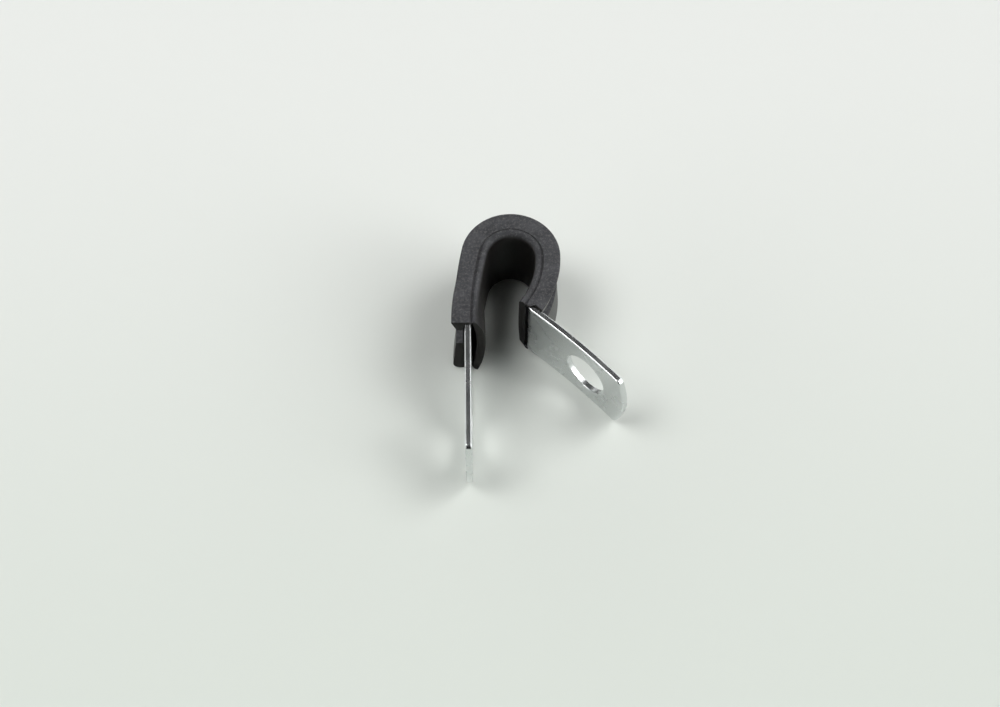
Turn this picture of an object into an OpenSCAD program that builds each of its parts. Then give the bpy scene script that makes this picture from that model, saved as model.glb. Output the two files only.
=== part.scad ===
// Rubber-lined P clip: one formed steel strip with a bolt hole in each leg, and one
// length of rubber channel pressed over the strip where it makes the loop.
//
// The loop lies round the Z axis, halfway up the strip's width. The straight leg runs
// towards -Y on the -X side, and the bent leg swings out towards +X.
// A heading is an angle in degrees, clockwise from +Y as seen from above. The strip is
// followed from the tip of the straight leg, over the loop, to the tip of the bent leg,
// so the outside of the loop is always on its left.

/* [Cable] */
// Diameter of the cable or tube that the loop holds
cable_d = 6.8; // [5:0.1:14]

/* [Steel strip] */
// Width of the strip
strip_w = 12; // [10:0.5:18]
// Thickness of the strip
strip_t = 0.9; // [0.6:0.1:1.4]
// Radius of the strip's sheared long edges
strip_edge_r = 0.2; // [0.05:0.01:0.25]

/* [Legs] */
// Length of the straight leg, from the liner's end to its tip
straight_leg_l = 20.1; // [16:0.1:30]
// Length of the bent leg, from its fold to its tip
bent_leg_l = 17.8; // [14:0.1:30]
// Angle by which the bent leg bows along its length
bent_leg_bow = 9.2; // [1:0.1:14]
// Diameter of the bolt hole in each leg
bolt_hole_d = 7; // [4.5:0.1:7.6]
// Distance from the centre of a bolt hole to the tip of its leg
hole_to_tip = 7.5; // [6:0.1:10]
// Radius of the curved end of each leg
leg_end_r = 14; // [12:0.5:30]
// Radius on the corners of each leg's end
leg_corner_r = 0.8; // [0.4:0.1:1.3]

/* [Loop] */
// Length of the flank between the straight leg and the round of the loop
flank_l = 12; // [8:0.1:16]
// Angle by which the flank curls in from the straight leg
flank_turn = 13.4; // [6:0.1:20]
// Angle of the round of the loop
round_turn = 165.6; // [150:0.1:180]
// Length of the throat, between the round and the fold of the bent leg
throat_l = 7.7; // [6:0.1:9]
// Angle by which the throat curls in to narrow the mouth of the loop
throat_turn = 34; // [12:0.1:40]

/* [Fold of the bent leg] */
// Inside radius of the fold
fold_r = 0.5; // [0.4:0.1:1.6]
// Angle of the fold
fold_turn = 82.4; // [50:0.1:90]
// How far the liner runs on over the fold, as a share of the way across the folded strip
liner_overrun = 0.8; // [0.2:0.05:0.85]

/* [Rubber liner] */
// Thickness of the pad between the cable and the strip
pad_t = 1.1; // [0.8:0.1:2]
// Radius of the pad's two edges, where the cable passes
pad_edge_r = 0.95; // [0.4:0.05:1]
// Thickness of the rubber over each long edge of the strip
rim_t = 0.5; // [0.4:0.05:1]
// Thickness of the lips at their roots
lip_t = 1.55; // [1:0.05:2.4]
// Thickness that each lip loses towards its free edge
lip_taper = 0.35; // [0:0.05:0.5]
// Radius of the lips' outer corners
lip_corner_r = 0.4; // [0.2:0.05:0.6]
// Height of the narrow upper lip
upper_lip_h = 2.3; // [1.5:0.1:3.5]
// Height of the wide lower lip
lower_lip_h = 7; // [4:0.1:8]
// Radius of the crease that runs round each rim
crease_r = 0.15; // [0.05:0.05:0.25]

/* [Hidden] */

$fa = 3;
$fs = 0.15;

// Play between the strip and its rubber channel
seat_gap = 0.03;
// How far a cutter runs past the surface that it cuts
overcut = 1;
// How far outside the strip's long edges the corners of a leg's end start
corner_lift = 0.03;

// Radius of the strip's centre line round the loop
loop_r = cable_d / 2 + pad_t + seat_gap + strip_t / 2;
// Places across the liner, counted outwards from the strip's centre line
channel_face = strip_t / 2 + seat_gap;
pad_face = channel_face + pad_t;
lip_face = channel_face + lip_t;
// Half the liner's width, and the two edges of the slot between its lips
liner_half_w = strip_w / 2 + seat_gap + rim_t;
slot_top = liner_half_w - upper_lip_h;
slot_bottom = lower_lip_h - liner_half_w;

// Unit vectors of a heading: the way it points, and the outside of the loop
function along(heading) = [sin(heading), cos(heading)];
function outside(heading) = [-cos(heading), sin(heading)];

// A stretch of the strip is [start, heading, length, turn], and a positive turn curls
// it round the loop. Its radius is signed like its turn.
function turn_radius(length, turn) = length * 180 / (PI * turn);
function turn_length(radius, turn) = radius * turn * PI / 180;
function stretch_end(stretch) =
    let (start = stretch[0], heading = stretch[1], length = stretch[2], turn = stretch[3])
    turn == 0
        ? start + length * along(heading)
        : start + turn_radius(length, turn)
            * (outside(heading + turn) - outside(heading));
function stretch_after(stretch, length, turn) =
    [stretch_end(stretch), stretch[1] + stretch[3], length, turn];
function stretch_before(stretch, length, turn) =
    let (heading = stretch[1] - turn)
    [stretch[0] - stretch_end([[0, 0], heading, length, turn]), heading, length, turn];

// The strip from tip to tip, set out from the round of the loop. The straight leg's
// heading is 0, because it runs along Y.
fold_centre_r = fold_r + strip_t / 2;
// The liner's own throat keeps the strip's curve and carries on over the fold. Its turn
// is kept to a tenth of a degree.
overrun_l = liner_overrun * (fold_r + strip_t);
liner_throat_turn = round(10 * throat_turn * (1 + overrun_l / throat_l)) / 10;

loop_round = [loop_r * outside(flank_turn), flank_turn, turn_length(loop_r, round_turn), round_turn];
flank = stretch_before(loop_round, flank_l, flank_turn);
straight_leg = stretch_before(flank, straight_leg_l, 0);
throat = stretch_after(loop_round, throat_l, throat_turn);
fold = stretch_after(throat, turn_length(fold_centre_r, fold_turn), -fold_turn);
bent_leg = stretch_after(fold, bent_leg_l, bent_leg_bow);
liner_throat = stretch_after(loop_round, throat_l * liner_throat_turn / throat_turn,
    liner_throat_turn);

// The two holes: a point on the strip's centre line and the plan angle towards the tip
straight_hole = straight_leg[0] + hole_to_tip * along(0);
straight_tip_a = -90;
bent_hole_l = bent_leg_l - hole_to_tip;
bent_hole_turn = bent_leg_bow * bent_hole_l / bent_leg_l;
bent_hole = stretch_end([bent_leg[0], bent_leg[1], bent_hole_l, bent_hole_turn]);
bent_tip_a = 90 - bent_leg[1] - bent_hole_turn;

// Moves in two steps, a round one and the rest, so that long decimals keep their last
// digits and the ends of neighbouring stretches meet face to face
module place(where) {
    round_step = [for (value = where) round(value * 1000) / 1000];
    translate(round_step) translate(where - round_step) children();
}

// Carries a section along one stretch: its x is the outside of the loop, its y is up
module sweep(stretch) {
    start = stretch[0];
    heading = stretch[1];
    length = stretch[2];
    turn = stretch[3];
    radius = turn == 0 ? 0 : turn_radius(length, turn);
    if (turn == 0)
        place(start) rotate([90, 0, 180 - heading]) linear_extrude(length) children();
    else if (turn > 0)
        place(start - radius * outside(heading))
            rotate_extrude(start = 180 - heading - turn, angle = turn)
                place([radius, 0]) children();
    else
        place(start - radius * outside(heading))
            rotate_extrude(start = -heading, angle = -turn)
                place([-radius, 0]) mirror([1, 0]) children();
}

// Turns the XY plane onto a leg, with x towards its tip and z through its thickness
module on_leg(hole, tip_a) {
    translate(hole) rotate([90, 0, tip_a]) children();
}

// Section of the strip, with its four sheared corners eased
module strip_section() {
    square([strip_t, strip_w - 2 * strip_edge_r], center = true);
    square([strip_t - 2 * strip_edge_r, strip_w], center = true);
    for (x = [-1, 1], y = [-1, 1])
        translate([x * (strip_t / 2 - strip_edge_r), y * (strip_w / 2 - strip_edge_r)])
            circle(strip_edge_r, $fn = 24);
}

// Outline that trims a leg of length leg_l to its curved end, with x = 0 at the hole. Its
// corners start just outside the strip, so that they cross its long edges cleanly.
module leg_outline(leg_l) {
    end_x = hole_to_tip - leg_end_r;
    corner_y = strip_w / 2 + corner_lift - leg_corner_r;
    corner_reach = leg_end_r - leg_corner_r;
    corner_x = end_x + sqrt(corner_reach * corner_reach - corner_y * corner_y);
    corner_a = asin(corner_y / corner_reach);
    back = leg_l - hole_to_tip + overcut;
    fan = 2 * leg_end_r;
    translate([-back, -strip_w / 2 - overcut])
        square([back + corner_x, strip_w + 2 * overcut]);
    for (side = [-1, 1])
        translate([corner_x, side * corner_y]) circle(leg_corner_r);
    translate([end_x, 0])
        intersection() {
            circle(leg_end_r);
            polygon([
                [0, 0],
                fan * [cos(corner_a), -sin(corner_a)],
                fan * [cos(corner_a), sin(corner_a)],
            ]);
        }
}

// One leg, trimmed to its end and drilled for its bolt
module leg(stretch, hole, tip_a) {
    trim_t = 2 * strip_t + 2 * overcut;
    difference() {
        intersection() {
            sweep(stretch) strip_section();
            on_leg(hole, tip_a)
                translate([0, 0, -trim_t / 2]) linear_extrude(trim_t) leg_outline(stretch[2]);
        }
        on_leg(hole, tip_a) cylinder(d = bolt_hole_d, h = trim_t, center = true);
    }
}

// Section of the liner before its channel is cut: pad, rims, and lips either side of a slot
module liner_section() {
    union() {
        polygon([
            [-pad_face, pad_edge_r - liner_half_w],
            [-pad_face, liner_half_w - pad_edge_r],
            [pad_edge_r - pad_face, liner_half_w],
            [lip_face - lip_corner_r, liner_half_w],
            [lip_face, liner_half_w - lip_corner_r],
            [lip_face - lip_taper, slot_top],
            [0, slot_top],
            [0, slot_bottom],
            [lip_face - lip_taper, slot_bottom],
            [lip_face, lip_corner_r - liner_half_w],
            [lip_face - lip_corner_r, -liner_half_w],
            [pad_edge_r - pad_face, -liner_half_w],
        ]);
        for (side = [-1, 1]) {
            translate([pad_edge_r - pad_face, side * (liner_half_w - pad_edge_r)])
                circle(pad_edge_r);
            translate([lip_face - lip_corner_r, side * (liner_half_w - lip_corner_r)])
                circle(lip_corner_r, $fn = 32);
        }
    }
}

// What is cut from that section: the channel, and the crease round each rim
module channel_section() {
    square([2 * channel_face, strip_w + 2 * seat_gap], center = true);
}
module crease_section() {
    for (side = [-1, 1])
        translate([-channel_face, side * liner_half_w]) circle(crease_r, $fn = 24);
}

module steel_strip() {
    color("silver") {
        leg(straight_leg, straight_hole, straight_tip_a);
        for (stretch = [flank, loop_round, throat, fold])
            sweep(stretch) strip_section();
        leg(bent_leg, bent_hole, bent_tip_a);
    }
}

module rubber_liner() {
    color("dimgray")
        difference() {
            for (stretch = [flank, loop_round, liner_throat])
                sweep(stretch) difference() {
                    liner_section();
                    channel_section();
                    crease_section();
                }
            // the way out for the folded strip, between the lips
            for (stretch = [fold, bent_leg])
                sweep(stretch) channel_section();
        }
}

steel_strip();
rubber_liner();
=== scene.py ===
"""Rubber-lined P clip: the looks of the packed clip, laid out as a Blender add-on.

The steel strip is built again at its packed size, with finely rounded edges. The rubber
liner is built again with the shape that soft rubber takes on an open clip: its pad stands
off the strip towards the liner's two cut ends, and its lips spread a little there.
"""

import math
from collections import namedtuple

import bmesh
import bpy
from bpy.props import FloatProperty, FloatVectorProperty, IntProperty, PointerProperty
from bpy.types import Operator, Panel, PropertyGroup
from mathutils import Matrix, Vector


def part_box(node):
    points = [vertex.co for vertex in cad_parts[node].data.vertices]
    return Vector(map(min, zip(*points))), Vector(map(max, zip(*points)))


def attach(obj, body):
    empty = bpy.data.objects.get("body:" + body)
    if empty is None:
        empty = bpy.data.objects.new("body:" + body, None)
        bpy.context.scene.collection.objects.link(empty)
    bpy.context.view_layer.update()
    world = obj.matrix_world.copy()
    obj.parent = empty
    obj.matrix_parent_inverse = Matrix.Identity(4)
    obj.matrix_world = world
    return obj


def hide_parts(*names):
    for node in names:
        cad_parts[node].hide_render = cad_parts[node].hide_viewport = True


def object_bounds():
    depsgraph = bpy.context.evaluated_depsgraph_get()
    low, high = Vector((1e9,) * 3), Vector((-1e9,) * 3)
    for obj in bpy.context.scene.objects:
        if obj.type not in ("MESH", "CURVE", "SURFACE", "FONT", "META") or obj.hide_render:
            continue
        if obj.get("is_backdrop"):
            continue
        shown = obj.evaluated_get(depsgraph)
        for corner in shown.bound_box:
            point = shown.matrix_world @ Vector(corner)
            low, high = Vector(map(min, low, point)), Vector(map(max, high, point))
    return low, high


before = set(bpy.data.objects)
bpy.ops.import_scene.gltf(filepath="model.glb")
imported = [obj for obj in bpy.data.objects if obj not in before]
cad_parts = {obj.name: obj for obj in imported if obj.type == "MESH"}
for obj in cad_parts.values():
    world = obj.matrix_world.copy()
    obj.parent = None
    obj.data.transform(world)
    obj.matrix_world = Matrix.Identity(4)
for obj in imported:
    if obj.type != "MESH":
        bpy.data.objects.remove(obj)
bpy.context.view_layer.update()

bl_info = {
    "name": "Rubber-lined P clip",
    "version": (1, 0, 0),
    "blender": (4, 5, 0),
    "location": "View3D > Sidebar > P clip",
    "description": "Builds and finishes a rubber-lined P clip on its studio floor",
    "category": "Add Mesh",
}

MM = 0.001
LINER_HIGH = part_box("rubber_liner")[1]
STRIP_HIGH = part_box("steel_strip")[1]


# ---------------------------------------------------------------- sizes and colours


def length(name, description, default):
    return FloatProperty(
        name=name, description=description, default=default, unit="LENGTH", precision=5
    )


def angle(name, description, default):
    return FloatProperty(name=name, description=description, default=default, unit="ROTATION")


def number(name, description, default):
    return FloatProperty(name=name, description=description, default=default, min=0.0)


def colour(name, description, default):
    return FloatVectorProperty(
        name=name,
        description=description,
        default=default,
        size=3,
        min=0.0,
        max=1.0,
        subtype="COLOR",
    )


class ClipPathSizes(PropertyGroup):
    """The strip's centre line, seen from above"""

    loop_radius: length(
        "Loop radius", "Radius of the strip's centre line round the loop", 4.98 * MM
    )
    flank_length: length(
        "Flank length", "Length of the flank between the straight leg and the round", 12.0 * MM
    )
    flank_turn: angle("Flank turn", "Angle by which the flank curls in", math.radians(13.4))
    round_turn: angle("Round turn", "Angle of the round of the loop", math.radians(165.6))
    throat_length: length(
        "Throat length", "Length of the throat between the round and the fold", 7.7 * MM
    )
    throat_turn: angle("Throat turn", "Angle by which the throat curls in", math.radians(34.0))
    overrun: length("Overrun", "Length of liner that runs on past the throat", 1.12 * MM)


class StripSizes(PropertyGroup):
    """The steel strip, from the straight leg's tip to the bent leg's tip"""

    thickness: length("Thickness", "Thickness of the strip", 0.9 * MM)
    half_width: length("Half width", "Half the strip's width", STRIP_HIGH.z)
    edge_radius: length("Edge radius", "Radius of the strip's long edges", 0.2 * MM)
    hole_edge_radius: length(
        "Hole edge radius", "Radius of the edges of the bolt holes", 0.12 * MM
    )
    straight_leg: length("Straight leg", "Length of the straight leg", 20.1 * MM)
    bent_leg: length("Bent leg", "Length of the bent leg, from its fold to its tip", 17.8 * MM)
    bent_leg_turn: angle(
        "Bent leg bow", "Angle by which the bent leg bows along its length", math.radians(9.2)
    )
    fold_radius: length("Fold radius", "Radius of the strip's centre line in the fold", 0.95 * MM)
    fold_turn: angle("Fold turn", "Angle of the fold", math.radians(82.4))
    hole_radius: length("Hole radius", "Radius of the bolt hole in each leg", 3.5 * MM)
    hole_to_tip: length(
        "Hole to tip", "Distance from a bolt hole's centre to the tip of its leg", 7.5 * MM
    )
    end_radius: length("End radius", "Radius of the curved end of each leg", 14.0 * MM)
    corner_radius: length("Corner radius", "Radius on the corners of each leg's end", 0.8 * MM)
    corner_lift: length(
        "Corner lift", "How far outside the long edges the corner arcs would top out", 0.03 * MM
    )


class LinerSizes(PropertyGroup):
    """The rubber liner's section, and how it changes towards the cut ends"""

    half_width: length("Half width", "Half the liner's width across the strip", LINER_HIGH.z)
    channel_half: length(
        "Half channel", "Distance from the strip's centre line to the channel's walls", 0.48 * MM
    )
    channel_depth: length(
        "Channel reach",
        "Distance from mid-width to the channel's two ends",
        STRIP_HIGH.z + 0.03 * MM,
    )
    lip_thickness: length("Lip thickness", "Thickness of a lip at its root", 1.55 * MM)
    lip_taper: length("Lip taper", "Thickness that a lip loses towards its free edge", 0.35 * MM)
    lip_flare: length("Lip flare", "How far the lips spread at the straight leg", 0.28 * MM)
    slot_top: length("Slot top", "Height of the narrow lip's free edge above mid-width", 4.23 * MM)
    slot_bottom: length(
        "Slot bottom", "Height of the wide lip's free edge above mid-width", 0.47 * MM
    )
    pad_thickness: length("Pad thickness", "Thickness of the pad round the loop", 1.1 * MM)
    pad_bow: length(
        "Pad bow", "How far the pad stands off the strip at the straight leg", 0.72 * MM
    )
    pad_bow_bent: length(
        "Pad bow at the bent leg",
        "How far the pad stands off the strip at the bent leg",
        0.06 * MM,
    )
    pad_edge: length("Pad edge", "Radius of the pad's two edges", 0.95 * MM)
    crease_width: length(
        "Crease width", "Half the width of the crease between a rim and the pad", 0.26 * MM
    )
    crease_depth: length(
        "Crease depth", "Depth of the crease between a rim and the pad", 0.34 * MM
    )
    stations: IntProperty(
        name="Stations",
        description="Number of sections along the liner",
        default=150,
        min=40,
    )


class FinishColours(PropertyGroup):
    """The colours of the clip's two materials"""

    rubber: colour("Rubber", "Colour of the moulded rubber", (0.018, 0.017, 0.016))
    # Painted light: this lighter colour goes on the rubber's upward faces to stand in for the
    # light falling on them from above; the walls keep the dark rubber colour.
    rubber_lit_top: colour(
        "Rubber lit top",
        "Colour of the painted light on the rubber's upper faces",
        (0.054, 0.055, 0.059),
    )
    rubber_dust: colour(
        "Rubber dust", "Colour of the fine dust that clings to the rubber", (0.12, 0.12, 0.12)
    )
    zinc: colour("Zinc", "Colour of the zinc plating", (0.70, 0.72, 0.72))


class StudioSizes(PropertyGroup):
    """The floor, the soft lights and the camera"""

    floor_colour: colour("Floor", "Colour of the plain floor", (0.80, 0.82, 0.79))
    # Painted shade: the floor is given this darker colour at the front to stand in for the light
    # falling off there.
    floor_front_shade: colour(
        "Floor at the front", "Colour of the floor in front of the clip", (0.70, 0.745, 0.69)
    )
    floor_size: length("Floor size", "Length of the floor's sides", 3.0)
    band_level: number("Low band", "Brightness of the soft band of light near the floor", 2.0)
    dome_level: number(
        "Dome", "Brightness of the surround overhead, between the soft lights", 0.02
    )
    left_level: number("Left light", "Brightness of the soft light to the left", 5.8)
    right_level: number("Right light", "Brightness of the soft light to the right", 6.0)
    low_level: number("Low light", "Brightness of the soft light low down on the right", 4.3)
    camera_place: FloatVectorProperty(
        name="Camera's place",
        description="Where the camera stands",
        default=(-3.419 * MM, -118.367 * MM, 202.665 * MM),
        size=3,
        subtype="TRANSLATION",
    )
    camera_tilt: angle(
        "Camera's tilt", "Angle of the camera's view away from straight down", math.radians(27.64)
    )
    camera_turn: angle(
        "Camera's turn", "Turn of the camera round the vertical", math.radians(-0.9)
    )
    camera_lens: number("Lens", "Focal length of the camera, in millimetres", 57.85)


# ---------------------------------------------------------------- the strip's path

# A stretch of the centre line: where it starts, its heading there, its length and turn.
# A heading is clockwise from +Y, and a positive turn curls round the loop.
Stretch = namedtuple("Stretch", "start heading length turn")


def along(heading):
    return Vector((math.sin(heading), math.cos(heading)))


def outside(heading):
    return Vector((-math.cos(heading), math.sin(heading)))


def point_on(stretch, distance):
    """The point and the heading at a distance along a stretch."""
    heading = stretch.heading + stretch.turn * distance / stretch.length
    if stretch.turn == 0:
        return stretch.start + distance * along(heading), heading
    radius = stretch.length / stretch.turn
    return stretch.start + radius * (outside(heading) - outside(stretch.heading)), heading


def liner_stretches(path):
    """The flank, the round and the throat that the liner covers, in that order."""
    round_start = path.loop_radius * outside(path.flank_turn)
    reach, _ = point_on(
        Stretch(Vector((0, 0)), 0.0, path.flank_length, path.flank_turn), path.flank_length
    )
    flank = Stretch(round_start - reach, 0.0, path.flank_length, path.flank_turn)
    loop = Stretch(
        round_start, path.flank_turn, path.loop_radius * path.round_turn, path.round_turn
    )
    throat_start, heading = point_on(loop, loop.length)
    grown = 1 + path.overrun / path.throat_length
    throat = Stretch(
        throat_start, heading, path.throat_length * grown, path.throat_turn * grown
    )
    return [flank, loop, throat]


def strip_stretches(path, strip):
    """The whole strip, from the straight leg's tip to the bent leg's tip."""
    flank, loop, _ = liner_stretches(path)
    straight = Stretch(
        flank.start - strip.straight_leg * along(0.0), 0.0, strip.straight_leg, 0.0
    )
    start, heading = point_on(loop, loop.length)
    throat = Stretch(start, heading, path.throat_length, path.throat_turn)
    start, heading = point_on(throat, throat.length)
    fold = Stretch(start, heading, strip.fold_radius * strip.fold_turn, -strip.fold_turn)
    start, heading = point_on(fold, fold.length)
    bent = Stretch(start, heading, strip.bent_leg, strip.bent_leg_turn)
    return [straight, flank, loop, throat, fold, bent]


def point_along(stretches, distance):
    """The point and the heading at a distance along the whole run of stretches."""
    for stretch in stretches[:-1]:
        if distance <= stretch.length:
            return point_on(stretch, distance)
        distance -= stretch.length
    return point_on(stretches[-1], distance)


# ---------------------------------------------------------------- lines and arcs


def blend(first, second, share):
    return first + (second - first) * share


def smooth(value):
    """0 below 0, 1 above 1, and an even ease between."""
    value = min(max(value, 0.0), 1.0)
    return value * value * (3 - 2 * value)


def line(start, end, count):
    """Points from start up to, but not including, end."""
    return [
        (start[0] + (end[0] - start[0]) * i / count, start[1] + (end[1] - start[1]) * i / count)
        for i in range(count)
    ]


def arc(centre, radius, first, last, count):
    """Points round an arc, both ends included, angles in degrees from +u towards +z."""
    points = []
    for i in range(count + 1):
        turned = math.radians(first + (last - first) * i / count)
        across, up = radius * math.cos(turned), radius * math.sin(turned)
        points.append((centre[0] + across, centre[1] + up))
    return points


def aimed(turned):
    return Vector((math.cos(turned), math.sin(turned)))


# ---------------------------------------------------------------- the strip's mesh

# The strip is made as a flat plate in millimetres, with x along it, y up and z outwards.
# It is then cut across where it will bend, and each of its points is carried to the path.

# Length of long edge next to a corner over which the shading turns into the corner's
RUN_IN = 0.25
# Steps round a corner, round half of a leg's end and round a hole
CORNER_STEPS = 8
HALF_END_STEPS = 12
HOLE_STEPS = 96
# Degrees in a step round the strip's rounded edges
EDGE_STEP = 18
# Greatest turn in degrees, and length, between two cuts across a bent stretch
CUT_TURN = 3.5
CUT_LENGTH = 0.8
# Points this close to a cut are taken as lying on it
CUT_SNAP = 1e-3


def plate_outline(strip, whole, inset):
    """The plate's outline drawn in by inset: pairs of a point and its outward direction."""
    up = (strip.half_width + strip.corner_lift - strip.corner_radius) / MM
    reach = (strip.end_radius - strip.corner_radius) / MM
    spread = math.asin(up / reach)
    corner = Vector((whole - strip.end_radius / MM + reach * math.cos(spread), up))
    corner_r = strip.corner_radius / MM - inset
    high = strip.half_width / MM - inset
    first = math.asin((high - up) / corner_r)
    end = Vector((whole - strip.end_radius / MM, 0.0))
    end_r = strip.end_radius / MM - inset

    start = Vector((corner.x + corner_r * math.cos(first) - RUN_IN, high))
    side = [(start, Vector((0.0, 1.0)))]
    for i in range(CORNER_STEPS + 1):
        aim = aimed(blend(first, spread, i / CORNER_STEPS))
        side.append((corner + corner_r * aim, aim))
    for i in range(1, HALF_END_STEPS):
        aim = aimed(blend(spread, 0.0, i / HALF_END_STEPS))
        side.append((end + end_r * aim, aim))
    tip = [(end + Vector((end_r, 0.0)), Vector((1.0, 0.0)))]
    flip = Vector((1.0, -1.0))
    bent_end = side + tip + [(point * flip, aim * flip) for point, aim in reversed(side)]
    across = Vector((whole, 0.0))
    return bent_end + [(across - point, -aim) for point, aim in bent_end]


def hole_outline(strip, centre, inset):
    """A bolt hole's outline widened by inset: pairs of a point and its inward direction."""
    radius = strip.hole_radius / MM + inset
    points = []
    for i in range(HOLE_STEPS):
        aim = aimed(2 * math.pi * i / HOLE_STEPS)
        points.append((Vector((centre, 0.0)) + radius * aim, -aim))
    return points


def add_wall(mesh, normals, outline, half_thickness, edge):
    """A wall with rounded edges round an outline. Returns the edges of its two rims."""
    steps = 90 // EDGE_STEP
    profile = [(EDGE_STEP * i - 90, -1) for i in range(steps + 1)]
    profile += [(EDGE_STEP * i, 1) for i in range(steps + 1)]
    rings = []
    for degrees, side in profile:
        turned = math.radians(degrees)
        level = math.cos(turned)
        height = side * (half_thickness - edge) + edge * math.sin(turned)
        ring = []
        for point, aim in outline(edge * (1 - level)):
            corner = mesh.verts.new((point.x, point.y, height))
            corner[normals] = (aim.x * level, aim.y * level, math.sin(turned))
            ring.append(corner)
        rings.append(ring)
    for lower, upper in zip(rings, rings[1:]):
        for i in range(len(lower)):
            mesh.faces.new((lower[i - 1], lower[i], upper[i], upper[i - 1]))
    return [ring_edges(mesh, ring) for ring in (rings[0], rings[-1])]


def ring_edges(mesh, ring):
    return [mesh.edges.get((ring[i - 1], ring[i])) for i in range(len(ring))]


def cut_places(stretches):
    """Distances, in millimetres, at which the plate is cut across so that it can bend."""
    places = []
    start = 0.0
    for stretch in stretches:
        degrees = abs(math.degrees(stretch.turn))
        reach = stretch.length / MM
        count = max(1, round(degrees / CUT_TURN), round(reach / CUT_LENGTH) if degrees else 1)
        places += [start + reach * i / count for i in range(count)]
        start += reach
    return places[1:]


def flat_plate(stretches, strip):
    """The strip as a flat plate, cut across for bending, and its layer of normals."""
    whole = sum(stretch.length for stretch in stretches) / MM
    to_tip = strip.hole_to_tip / MM
    outlines = [
        (lambda inset: plate_outline(strip, whole, inset), strip.edge_radius),
        (lambda inset: hole_outline(strip, to_tip, inset), strip.hole_edge_radius),
        (lambda inset: hole_outline(strip, whole - to_tip, inset), strip.hole_edge_radius),
    ]
    plate = bmesh.new()
    normals = plate.verts.layers.float_vector.new("plate_normal")
    half_thickness = strip.thickness / 2 / MM
    rims = [
        add_wall(plate, normals, outline, half_thickness, edge / MM) for outline, edge in outlines
    ]
    for face in (0, 1):
        edges = [edge for rim in rims for edge in rim[face]]
        bmesh.ops.triangle_fill(plate, edges=edges, use_beauty=True)
    for place in cut_places(stretches):
        bmesh.ops.bisect_plane(
            plate,
            geom=plate.verts[:] + plate.edges[:] + plate.faces[:],
            plane_co=(place, 0, 0),
            plane_no=(1, 0, 0),
            dist=CUT_SNAP,
        )
    return plate, normals


def build_strip(path, strip):
    """The strip's mesh, and the normal of each of its vertices."""
    stretches = strip_stretches(path, strip)
    mesh, normals = flat_plate(stretches, strip)
    directions = []
    for corner in mesh.verts:
        distance, up, out = corner.co
        point, heading = point_along(stretches, distance * MM)
        flat = point + out * MM * outside(heading)
        lengthwise, upwards, outwards = corner[normals]
        level = lengthwise * along(heading) + outwards * outside(heading)
        directions.append(Vector((level.x, level.y, upwards)).normalized())
        corner.co = (flat.x, flat.y, up * MM)
    bmesh.ops.recalc_face_normals(mesh, faces=mesh.faces)
    if mesh.calc_volume(signed=True) < 0:
        bmesh.ops.reverse_faces(mesh, faces=mesh.faces)
    return mesh, directions


# ---------------------------------------------------------------- the liner's mesh

# The pad's face where it is sprung: how far it stands out from the channel's wall at its
# crown, the crown's height, and how fast it falls away above and below
SPRUNG_STAND = 2.0 * MM
SPRUNG_CROWN = 0.8 * MM
SPRUNG_REACH_UP = 6.6 * MM
SPRUNG_REACH_DOWN = 9.0 * MM
SPRUNG_POWER = 2.28
# The same for its back
BACK_CROWN = 0.6 * MM
BACK_POWER = 2.2

# The pad's face stands out by at least this many widths of the crease beside it
LEAST_STAND = 1.3

# At the straight leg: how far the lips' free edges lift off the strip, how much thinner
# the narrow one and thicker the wide one gets, and the radius that its low corner gains
TIP_LIFT = 0.22 * MM
NARROW_TIP_LOSS = 0.06 * MM
WIDE_TIP_GAIN = 0.12 * MM
LOW_CORNER_GAIN = 0.75 * MM
# How much further the wide lip's free edge stands off than the narrow lip's, all along
WIDE_TIP_LIFT = 0.05 * MM
# Heights from the channel's ends over which the lips lie flat on the strip
NARROW_ROOT = 0.4 * MM
WIDE_ROOT = 1.5 * MM
# Height above its low corner up to which the wide lip has its full thickness, away from
# the straight leg
WIDE_RISE = 0.5 * MM

# Radii of the lips' free edges: inside, and outside on the narrow and on the wide lip
EDGE_R = 0.1 * MM
NARROW_EDGE_R = 1.2 * EDGE_R
WIDE_EDGE_R = 1.5 * EDGE_R
# Radii of the outer corners of the narrow and of the wide lip
UPPER_R = 0.22 * MM
LOWER_R = 0.35 * MM
# Gaps between the end of a corner's arc and the next point
FACE_GAP = 0.02 * MM
RIM_GAP = 0.05 * MM
# How far the top rim's two sides lie below its middle
RIM_CROWN = 0.04 * MM

# The crease from the rim's side: across and down, as shares of its width and its depth
CREASE = ((0.75, 0.12), (0.45, 0.45), (0.15, 0.9), (-0.1, 1.0), (-0.5, 0.75), (-1.0, 0.30))
# The creases close by this share over the round. They start to close a little before it,
# and take this length to do so.
CREASE_CLOSING = 0.62
CREASE_LEAD = 1 * MM
CREASE_EASE = 5 * MM

# The lips swell at the bend from the flank to the round: by how much, how far before it
# they start and over what length, and how far past it they lose how much over what length
SWELL = 0.13 * MM
SWELL_LEAD = 4.2 * MM
SWELL_RISE = 4.6 * MM
SWELL_HOLD = 4 * MM
SWELL_FALL = 15 * MM
SWELL_LOSS = 0.9
# They dip just before they swell
DIP = 0.09 * MM
DIP_LEAD = 5.6 * MM
DIP_LENGTH = 1.6 * MM

# Length over which the liner changes towards its end at the straight and the bent leg
LEFT_REACH = 11.5 * MM
RIGHT_REACH = 6.5 * MM
# Length over which the cut ends lean, and how far: the lips, and the pad more than that
LEAN_REACH = 2.5 * MM
LIP_LEAN = 0.30 * MM
PAD_LEAN_MORE = 0.45 * MM
BENT_PAD_LEAN = 0.35 * MM
# A point inwards of this lies in the pad, and within this length of it only partly
PAD_START = 0.4 * MM
PAD_EASE = 0.6 * MM
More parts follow.
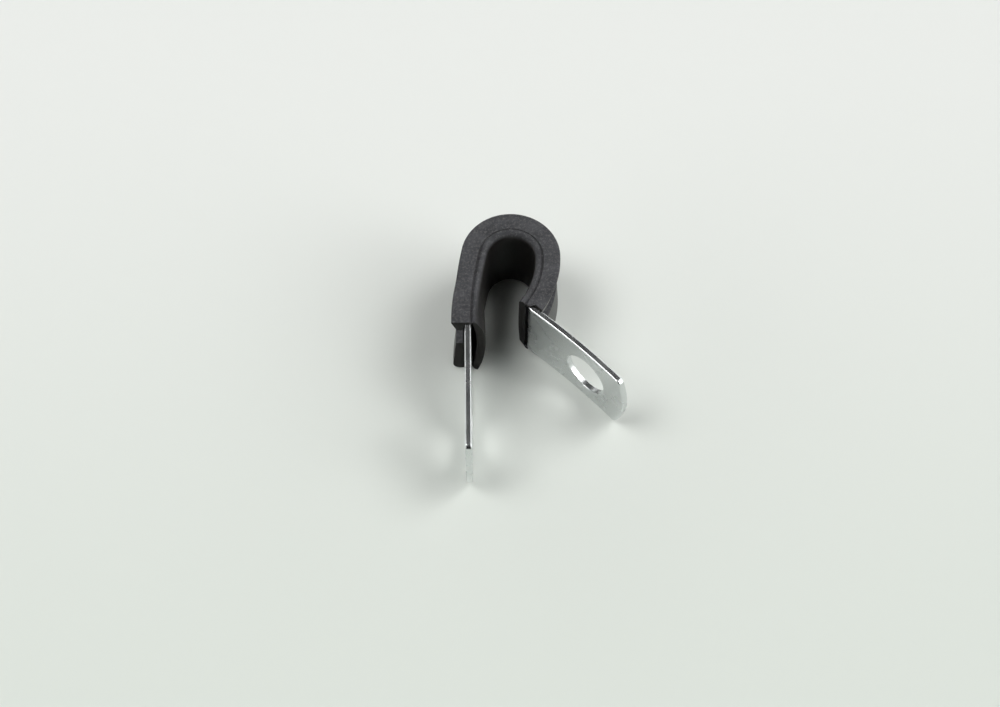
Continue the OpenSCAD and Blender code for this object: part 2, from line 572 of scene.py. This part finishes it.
# A point outwards of this lies in a lip. The lips stop against the folded strip, this far
# past the throat at their outer face, and by this slope further out.
LIP_START = 0.3 * MM
LIP_STOP = 0.48 * MM
LIP_STOP_AT = 0.9 * MM
LIP_STOP_SLOPE = 0.13
# Size of the easing round a cut end, and the place of its middle ring as shares of that:
# how far it lies from the end, and how far it is drawn in
CUT_EASE = 0.07 * MM
MIDDLE_ALONG = 0.3
MIDDLE_DRAWN = 0.35

# The section runs so that its rubber lies on this side of each step
SECTION_SIDE = -1


def pad_stand(liner, z, left):
    """How far the pad's face stands out from the channel's wall at height z."""
    edge = liner.pad_edge
    over_edge = max(0.0, (abs(z) - liner.half_width + edge) / edge)
    dropped = edge * (1 - math.sqrt(max(0.0, 1 - min(over_edge, 1.0) ** 2)))
    seated = liner.pad_thickness - dropped
    reach = SPRUNG_REACH_UP if z > SPRUNG_CROWN else SPRUNG_REACH_DOWN
    sprung = SPRUNG_STAND * (1 - (abs(z - SPRUNG_CROWN) / reach) ** SPRUNG_POWER)
    return blend(seated, sprung, left)


def pad_back(liner, z, left, right):
    """How far the pad's back stands off the strip at height z."""
    share = min(abs(z - BACK_CROWN * left) / liner.channel_depth, 1.0)
    return (liner.pad_bow * left + liner.pad_bow_bent * right) * (1 - share**BACK_POWER)


def liner_section(liner, left, right, swell, pinch):
    """The closed section of the liner, as (outwards, up) points, counter-clockwise.

    left and right are 1 at the cut ends at the straight and the bent leg, and 0 away
    from them. swell is the extra thickness of the lips, and pinch is 1 where the creases
    are fully open.
    """
    half, inner, deep = liner.half_width, liner.channel_half, liner.channel_depth
    top, bottom = liner.slot_top, liner.slot_bottom
    face = inner + liner.lip_thickness + liner.lip_flare * left + swell
    tip_inner = inner + TIP_LIFT * left
    wide_inner = tip_inner + WIDE_TIP_LIFT
    tip = inner + liner.lip_thickness - liner.lip_taper + swell
    narrow_tip = tip - NARROW_TIP_LOSS * left
    wide_tip = tip + WIDE_TIP_GAIN * left
    lower_r = LOWER_R + LOW_CORNER_GAIN * left
    wide_z = -half + lower_r + WIDE_RISE * (1 - left)

    # narrow lip: free edge, then up its inner face
    points = arc((tip_inner + EDGE_R, top + EDGE_R), EDGE_R, 270, 180, 4)
    points += line((tip_inner, top + 2 * EDGE_R), (inner, deep - NARROW_ROOT), 5)
    points += line((inner, deep - NARROW_ROOT), (inner, deep), 2)
    # channel: its top, the pad's back, its bottom
    points += line((inner, deep), (-inner, deep), 4)
    steps = 36
    for i in range(steps):
        z = deep * math.cos(math.pi * i / steps)
        points.append((-inner - pad_back(liner, z, left, right), z))
    points += line((-inner, -deep), (inner, -deep), 4)
    # wide lip: its inner face, free edge, outer face and low corner
    points += line((inner, -deep), (inner, -deep + WIDE_ROOT), 4)
    points += line((inner, -deep + WIDE_ROOT), (wide_inner, bottom - EDGE_R), 8)
    points += arc((wide_inner + EDGE_R, bottom - EDGE_R), EDGE_R, 180, 90, 4)
    points += arc((wide_tip - WIDE_EDGE_R, bottom - WIDE_EDGE_R), WIDE_EDGE_R, 90, 0, 5)
    points += line((wide_tip, bottom - 2 * EDGE_R), (face, wide_z), 10)
    points += line((face, wide_z), (face, -half + lower_r), 2)
    points += arc((face - lower_r, -half + lower_r), lower_r, 0, -90, 9)
    # bottom rim, its crease, the pad's face, and the top crease
    wide, depth = liner.crease_width * pinch, liner.crease_depth * pinch
    points += line((face - lower_r - RIM_GAP, -half), (-inner + wide, -half), 6)
    points += crease(inner, -half, wide, depth)
    steps = 48
    for i in range(1, steps):
        z = -(half - FACE_GAP) * math.cos(math.pi * i / steps)
        stand = pad_stand(liner, z, left) + pad_back(liner, z, 0.0, right)
        points.append((-inner - max(stand, LEAST_STAND * wide), z))
    points += reversed(crease(inner, half, wide, depth))
    # top rim with its crown, and the narrow lip's outer face
    rim_start, rim_end = -inner + wide, face - UPPER_R
    steps = 10
    for i in range(steps):
        u = rim_start + (rim_end - rim_start) * i / steps
        crown = 1 - ((i / steps - 0.5) / 0.5) ** 2
        points.append((u, half - RIM_CROWN * (1 - crown)))
    points += arc((face - UPPER_R, half - UPPER_R), UPPER_R, 80, 0, 7)
    points += line((face, half - UPPER_R - FACE_GAP), (narrow_tip, top + NARROW_EDGE_R), 6)
    points += arc((narrow_tip - NARROW_EDGE_R, top + NARROW_EDGE_R), NARROW_EDGE_R, 0, -90, 4)
    return points


def crease(inner, rim, wide, depth):
    """The groove between a rim and the pad, from the rim's side."""
    inward = -1 if rim > 0 else 1
    return [(-inner + share * wide, rim + inward * drop * depth) for share, drop in CREASE]


def lip_swell(path, distance):
    """The lips' extra thickness at a distance along the liner: rubber bunches at a bend."""
    past_bend = distance - path.flank_length
    rise = smooth((past_bend + SWELL_LEAD) / SWELL_RISE)
    fall = 1 - SWELL_LOSS * smooth((past_bend - SWELL_HOLD) / SWELL_FALL)
    dip = math.exp(-(((past_bend + DIP_LEAD) / DIP_LENGTH) ** 2))
    return SWELL * rise * fall - DIP * dip


def crease_pinch(path, distance):
    """How far the creases open: fully on the flank and the throat, least over the round."""
    round_end = path.flank_length + path.loop_radius * path.round_turn
    past_flank = smooth((distance - path.flank_length + CREASE_LEAD) / CREASE_EASE)
    before_throat = smooth((round_end - distance) / CREASE_EASE)
    return 1 - CREASE_CLOSING * past_flank * before_throat


def end_shift(path, liner, u, z, distance, remaining):
    """Moves the points near a cut end along the strip.

    At the bent leg the lips stop against the folded strip. Both cuts lean a little, so
    that low down the rubber reaches further at the straight leg and less far at the bent
    one.
    """
    low = smooth(-z / liner.half_width)
    in_pad = smooth((-u - PAD_START) / PAD_EASE)
    stop = path.overrun - BENT_PAD_LEAN * low * in_pad
    if u > LIP_START:
        stop = min(stop, LIP_STOP + LIP_STOP_SLOPE * (u - LIP_STOP_AT))
    lean = (LIP_LEAN + PAD_LEAN_MORE * in_pad) * low
    at_bent = (stop - path.overrun) * smooth(1 - remaining / LEAN_REACH)
    return at_bent - lean * smooth(1 - distance / LEAN_REACH)


def shrunk(section, amount):
    """The section drawn in by amount, to ease the edges of a cut end."""
    if not amount:
        return section
    count = len(section)
    moved = []
    for i, (u, z) in enumerate(section):
        run = Vector(section[(i + 1) % count]) - Vector(section[i - 1])
        run.normalize()
        moved.append((u - run.y * amount * SECTION_SIDE, z + run.x * amount * SECTION_SIDE))
    return moved


def liner_stations(whole, count):
    """Distances of the sections along the liner, and how much the outer ones shrink."""
    ease, middle, drawn = CUT_EASE, MIDDLE_ALONG * CUT_EASE, MIDDLE_DRAWN * CUT_EASE
    inner_count = count - 6
    inner = [ease + (whole - 2 * ease) * i / inner_count for i in range(1, inner_count)]
    stations = [0.0, middle, ease, *inner, whole - ease, whole - middle, whole]
    last = len(stations) - 1
    return stations, {0: ease, 1: drawn, last - 1: drawn, last: ease}


def build_liner(path, liner):
    """The liner's mesh: its section carried along the strip, with eased cut ends."""
    stretches = liner_stretches(path)
    whole = sum(stretch.length for stretch in stretches)
    stations, shrink_at = liner_stations(whole, liner.stations)
    mesh = bmesh.new()
    cut = mesh.verts.layers.float.new("cut_end")
    rings = []
    for number_along, distance in enumerate(stations):
        left = smooth(1 - distance / LEFT_REACH)
        right = smooth(1 - (whole - distance) / RIGHT_REACH)
        swell, pinch = lip_swell(path, distance), crease_pinch(path, distance)
        section = liner_section(liner, left, right, swell, pinch)
        ring = []
        for u, z in shrunk(section, shrink_at.get(number_along, 0.0)):
            here = distance + end_shift(path, liner, u, z, distance, whole - distance)
            point, heading = point_along(stretches, here)
            flat = point + u * outside(heading)
            corner = mesh.verts.new((flat.x, flat.y, z))
            corner[cut] = 1.0 if number_along in shrink_at else 0.0
            ring.append(corner)
        rings.append(ring)
    for first, second in zip(rings, rings[1:]):
        for i in range(len(first)):
            j = (i + 1) % len(first)
            mesh.faces.new((first[i], first[j], second[j], second[i]))
    for ring in (rings[0], rings[-1]):
        bmesh.ops.triangle_fill(mesh, edges=ring_edges(mesh, ring), use_beauty=True)
    bmesh.ops.recalc_face_normals(mesh, faces=mesh.faces)
    return mesh


# ---------------------------------------------------------------- shader nodes

# The middle range that noise keeps to
NOISE_LOW, NOISE_HIGH = 0.3, 0.7


def new_material(name):
    material = bpy.data.materials.new(name)
    material.use_nodes = True
    nodes = material.node_tree.nodes
    return material, nodes, material.node_tree.links, nodes["Principled BSDF"]


def object_noise(nodes, links, scale, detail, roughness):
    """Noise that is fixed to the object, in features of 1/scale metres."""
    place = nodes.new("ShaderNodeTexCoord")
    noise = nodes.new("ShaderNodeTexNoise")
    noise.inputs["Scale"].default_value = scale
    noise.inputs["Detail"].default_value = detail
    noise.inputs["Roughness"].default_value = roughness
    links.new(place.outputs["Object"], noise.inputs["Vector"])
    return noise.outputs["Fac"]


def ramp(nodes, links, source, *stops):
    """A colour ramp over source, between two (position, colour) stops."""
    node = nodes.new("ShaderNodeValToRGB")
    for element, (position, shade) in zip(node.color_ramp.elements, stops):
        element.position = position
        element.color = (*shade, 1.0)
    links.new(source, node.inputs["Fac"])
    return node.outputs["Color"]


def mapped(nodes, links, value, low, high, at_low, at_high, kind="SMOOTHSTEP"):
    """at_low while value is under low, at_high once it is over high."""
    node = nodes.new("ShaderNodeMapRange")
    node.interpolation_type = kind
    node.inputs["From Min"].default_value = low
    node.inputs["From Max"].default_value = high
    node.inputs["To Min"].default_value = at_low
    node.inputs["To Max"].default_value = at_high
    links.new(value, node.inputs["Value"])
    return node.outputs["Result"]


def mix_colours(nodes, links, share, first, second):
    node = nodes.new("ShaderNodeMix")
    node.data_type = "RGBA"
    links.new(share, node.inputs["Factor"])
    links.new(first, node.inputs["A"])
    links.new(second, node.inputs["B"])
    return node.outputs["Result"]


def split(nodes, links, vector):
    node = nodes.new("ShaderNodeSeparateXYZ")
    links.new(vector, node.inputs["Vector"])
    return node.outputs


def calculated(nodes, links, operation, first, second):
    node = nodes.new("ShaderNodeMath")
    node.operation = operation
    links.new(first, node.inputs[0])
    links.new(second, node.inputs[1])
    return node.outputs["Value"]


def scaled(shade, share):
    return tuple(min(1.0, channel * share) for channel in shade)


# ---------------------------------------------------------------- materials


def rubber_material(colours):
    """Moulded rubber: satin black walls, dull cut ends, upper faces painted a lighter tone as
    painted light from above, and pale dust specks on top.
    """
    material, nodes, links, shader = new_material("epdm_rubber")
    rubber, lit_top = colours.rubber, colours.rubber_lit_top
    cloud = object_noise(nodes, links, scale=520, detail=4, roughness=0.6)
    speck = object_noise(nodes, links, scale=2600, detail=3, roughness=0.75)
    walls = ramp(nodes, links, cloud, (0.35, scaled(rubber, 0.85)), (0.68, scaled(rubber, 1.2)))
    tops = ramp(nodes, links, cloud, (0.32, scaled(lit_top, 0.72)), (0.70, scaled(lit_top, 1.25)))
    pale = nodes.new("ShaderNodeRGB")
    pale.outputs[0].default_value = (*colours.rubber_dust, 1.0)
    specks = mapped(nodes, links, speck, NOISE_LOW, NOISE_HIGH, -0.75, 0.85, "LINEAR")
    lit_tops_and_dust = mix_colours(nodes, links, specks, tops, pale.outputs[0])
    # Painted light: faces that point up are mixed to the lighter tone, as if lit from above, and
    # get the dust specks; the same mask also makes them duller.
    normal = nodes.new("ShaderNodeTexCoord").outputs["Normal"]
    upwards = mapped(nodes, links, split(nodes, links, normal)["Z"], 0.15, 0.85, 0.0, 1.0)
    links.new(mix_colours(nodes, links, upwards, walls, lit_tops_and_dust), shader.inputs["Base Color"])

    cut = nodes.new("ShaderNodeAttribute")
    cut.attribute_name = "cut_end"
    dull = calculated(nodes, links, "MAXIMUM", cut.outputs["Fac"], upwards)
    links.new(mapped(nodes, links, dull, 0.0, 1.0, 0.36, 0.70), shader.inputs["Roughness"])
    shine = mapped(nodes, links, dull, 0.0, 1.0, 0.50, 0.20)
    links.new(shine, shader.inputs["Specular IOR Level"])

    grain = object_noise(nodes, links, scale=3400, detail=4, roughness=0.65)
    bump = nodes.new("ShaderNodeBump")
    bump.inputs["Strength"].default_value = 0.5
    bump.inputs["Distance"].default_value = 0.04 * MM
    links.new(grain, bump.inputs["Height"])
    links.new(bump.outputs["Normal"], shader.inputs["Normal"])
    return material


def zinc_material(colours):
    """Zinc-plated steel: satin and slightly cloudy."""
    material, nodes, links, shader = new_material("zinc_steel")
    zinc = colours.zinc
    cloud = object_noise(nodes, links, scale=260, detail=3, roughness=0.5)
    tone = ramp(nodes, links, cloud, (0.35, scaled(zinc, 0.97)), (0.68, scaled(zinc, 1.02)))
    links.new(tone, shader.inputs["Base Color"])
    shader.inputs["Metallic"].default_value = 1.0
    satin = mapped(nodes, links, cloud, NOISE_LOW, NOISE_HIGH, 0.24, 0.30, "LINEAR")
    links.new(satin, shader.inputs["Roughness"])
    return material


def floor_material(studio):
    """Plain matt paper, with painted shade: a touch darker towards the front, where the light
    falls off.
    """
    material, nodes, links, shader = new_material("studio_floor")
    place = nodes.new("ShaderNodeTexCoord").outputs["Object"]
    back = mapped(nodes, links, split(nodes, links, place)["Y"], -75 * MM, 55 * MM, 0.0, 1.0)
    tone = ramp(nodes, links, back, (0.0, studio.floor_front_shade), (1.0, studio.floor_colour))
    links.new(tone, shader.inputs["Base Color"])
    shader.inputs["Roughness"].default_value = 0.9
    shader.inputs["Specular IOR Level"].default_value = 0.1
    return material


# ---------------------------------------------------------------- the stage


def lay_floor(scene, studio):
    half = studio.floor_size / 2
    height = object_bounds()[0].z
    mesh = bpy.data.meshes.new("floor")
    corners = [(x * half, y * half, height) for x, y in ((-1, -1), (1, -1), (1, 1), (-1, 1))]
    mesh.from_pydata(corners, [], [(0, 1, 2, 3)])
    mesh.materials.append(floor_material(studio))
    floor = bpy.data.objects.new("floor", mesh)
    scene.collection.objects.link(floor)
    floor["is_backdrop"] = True


def towards(turn, height):
    """The direction that lies turn degrees clockwise from +Y and height degrees up."""
    turn, height = math.radians(turn), math.radians(height)
    level = math.cos(height)
    return Vector((level * math.sin(turn), level * math.cos(turn), math.sin(height)))


def facing(nodes, links, view, direction):
    """The cosine of the angle between the view and a direction."""
    node = nodes.new("ShaderNodeVectorMath")
    node.operation = "DOT_PRODUCT"
    node.inputs[1].default_value = direction
    links.new(view, node.inputs[0])
    return node.outputs["Value"]


def glow(nodes, links, view, direction, reach, level):
    """A soft round light in the surround: full near its middle, gone at reach degrees."""
    edge, middle = math.cos(math.radians(reach)), math.cos(math.radians(0.35 * reach))
    return mapped(nodes, links, facing(nodes, links, view, direction), edge, middle, 0.0, level)


def light_world(scene, studio):
    """A low bright band that is open to the front, and soft lights to the left and right."""
    world = bpy.data.worlds.new("studio")
    world.use_nodes = True
    nodes, links = world.node_tree.nodes, world.node_tree.links
    background = nodes["Background"]
    view = nodes.new("ShaderNodeTexCoord").outputs["Generated"]
    low, high = math.sin(math.radians(14)), math.sin(math.radians(30))
    upwards = split(nodes, links, view)["Z"]
    band = mapped(nodes, links, upwards, low, high, studio.band_level, studio.dome_level)
    to_front = facing(nodes, links, view, towards(176, 0))
    open_front = mapped(nodes, links, to_front, 0.50, 0.78, 1.0, 0.0)
    light = calculated(nodes, links, "MULTIPLY", band, open_front)
    for direction, reach, level in (
        (towards(-86, 60), 21, studio.left_level),
        (towards(74, 52), 20, studio.right_level),
        (towards(108, 31), 19, studio.low_level),
    ):
        lamp = glow(nodes, links, view, direction, reach, level)
        light = calculated(nodes, links, "ADD", light, lamp)
    links.new(light, background.inputs["Strength"])
    background.inputs["Color"].default_value = (1.0, 1.0, 1.0, 1.0)
    scene.world = world


def set_camera(scene, studio):
    camera_data = bpy.data.cameras.new("camera")
    camera_data.lens = studio.camera_lens
    camera_data.sensor_width = 36.0
    camera_data.clip_start = 1 * MM
    camera = bpy.data.objects.new("camera", camera_data)
    camera.location = studio.camera_place
    camera.rotation_euler = (studio.camera_tilt, 0.0, studio.camera_turn)
    scene.collection.objects.link(camera)
    scene.camera = camera


# ---------------------------------------------------------------- operators


def add_piece(scene, name, shape, material):
    """Turns a mesh under construction into a smooth object. It has to be closed."""
    if not all(len(edge.link_faces) == 2 for edge in shape.edges):
        raise RuntimeError(f"{name} is not closed")
    mesh = bpy.data.meshes.new(name)
    shape.to_mesh(mesh)
    shape.free()
    mesh.materials.append(material)
    mesh.shade_smooth()
    piece = bpy.data.objects.new(name, mesh)
    scene.collection.objects.link(piece)
    return piece


class PCLIP_OT_steel_strip(Operator):
    """Build the formed steel strip with its two bolt holes"""

    bl_idname = "pclip.steel_strip"
    bl_label = "Steel strip"

    def execute(self, context):
        scene = context.scene
        shape, directions = build_strip(scene.pclip_path, scene.pclip_strip)
        material = zinc_material(scene.pclip_colours)
        strip = add_piece(scene, "steel_strip_skin", shape, material)
        strip.data.normals_split_custom_set_from_vertices(directions)
        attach(strip, "root")
        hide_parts("steel_strip")
        return {"FINISHED"}


class PCLIP_OT_rubber_liner(Operator):
    """Build the rubber liner round the strip"""

    bl_idname = "pclip.rubber_liner"
    bl_label = "Rubber liner"

    def execute(self, context):
        scene = context.scene
        shape = build_liner(scene.pclip_path, scene.pclip_liner)
        material = rubber_material(scene.pclip_colours)
        liner = add_piece(scene, "rubber_liner_skin", shape, material)
        liner.data.set_sharp_from_angle(angle=math.radians(38))
        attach(liner, "root")
        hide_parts("rubber_liner")
        return {"FINISHED"}


class PCLIP_OT_stage(Operator):
    """Lay the floor, light it and set up the camera"""

    bl_idname = "pclip.stage"
    bl_label = "Stage"

    def execute(self, context):
        scene = context.scene
        studio = scene.pclip_studio
        lay_floor(scene, studio)
        light_world(scene, studio)
        set_camera(scene, studio)
        scene.view_settings.view_transform = "Standard"
        return {"FINISHED"}


# ---------------------------------------------------------------- panel and running


class PCLIP_PT_build(Panel):
    """The clip's sizes, colours and building steps"""

    bl_label = "P clip"
    bl_idname = "PCLIP_PT_build"
    bl_space_type = "VIEW_3D"
    bl_region_type = "UI"
    bl_category = "P clip"

    def draw(self, context):
        for step in STEPS:
            self.layout.operator(step.bl_idname)
        for name in GROUPS:
            group = getattr(context.scene, name)
            box = self.layout.box()
            box.label(text=GROUPS[name].__doc__)
            for field in GROUPS[name].__annotations__:
                box.prop(group, field)


GROUPS = {
    "pclip_path": ClipPathSizes,
    "pclip_strip": StripSizes,
    "pclip_liner": LinerSizes,
    "pclip_colours": FinishColours,
    "pclip_studio": StudioSizes,
}
STEPS = [PCLIP_OT_steel_strip, PCLIP_OT_rubber_liner, PCLIP_OT_stage]
CLASSES = [*GROUPS.values(), *STEPS, PCLIP_PT_build]


def register():
    for cls in CLASSES:
        bpy.utils.register_class(cls)
    for name, group in GROUPS.items():
        setattr(bpy.types.Scene, name, PointerProperty(type=group))


def unregister():
    for name in GROUPS:
        delattr(bpy.types.Scene, name)
    for cls in reversed(CLASSES):
        bpy.utils.unregister_class(cls)


def main():
    """Registers everything and runs each step in order."""
    register()
    bpy.ops.pclip.steel_strip()
    bpy.ops.pclip.rubber_liner()
    bpy.ops.pclip.stage()


if __name__ == "__main__":
    main()
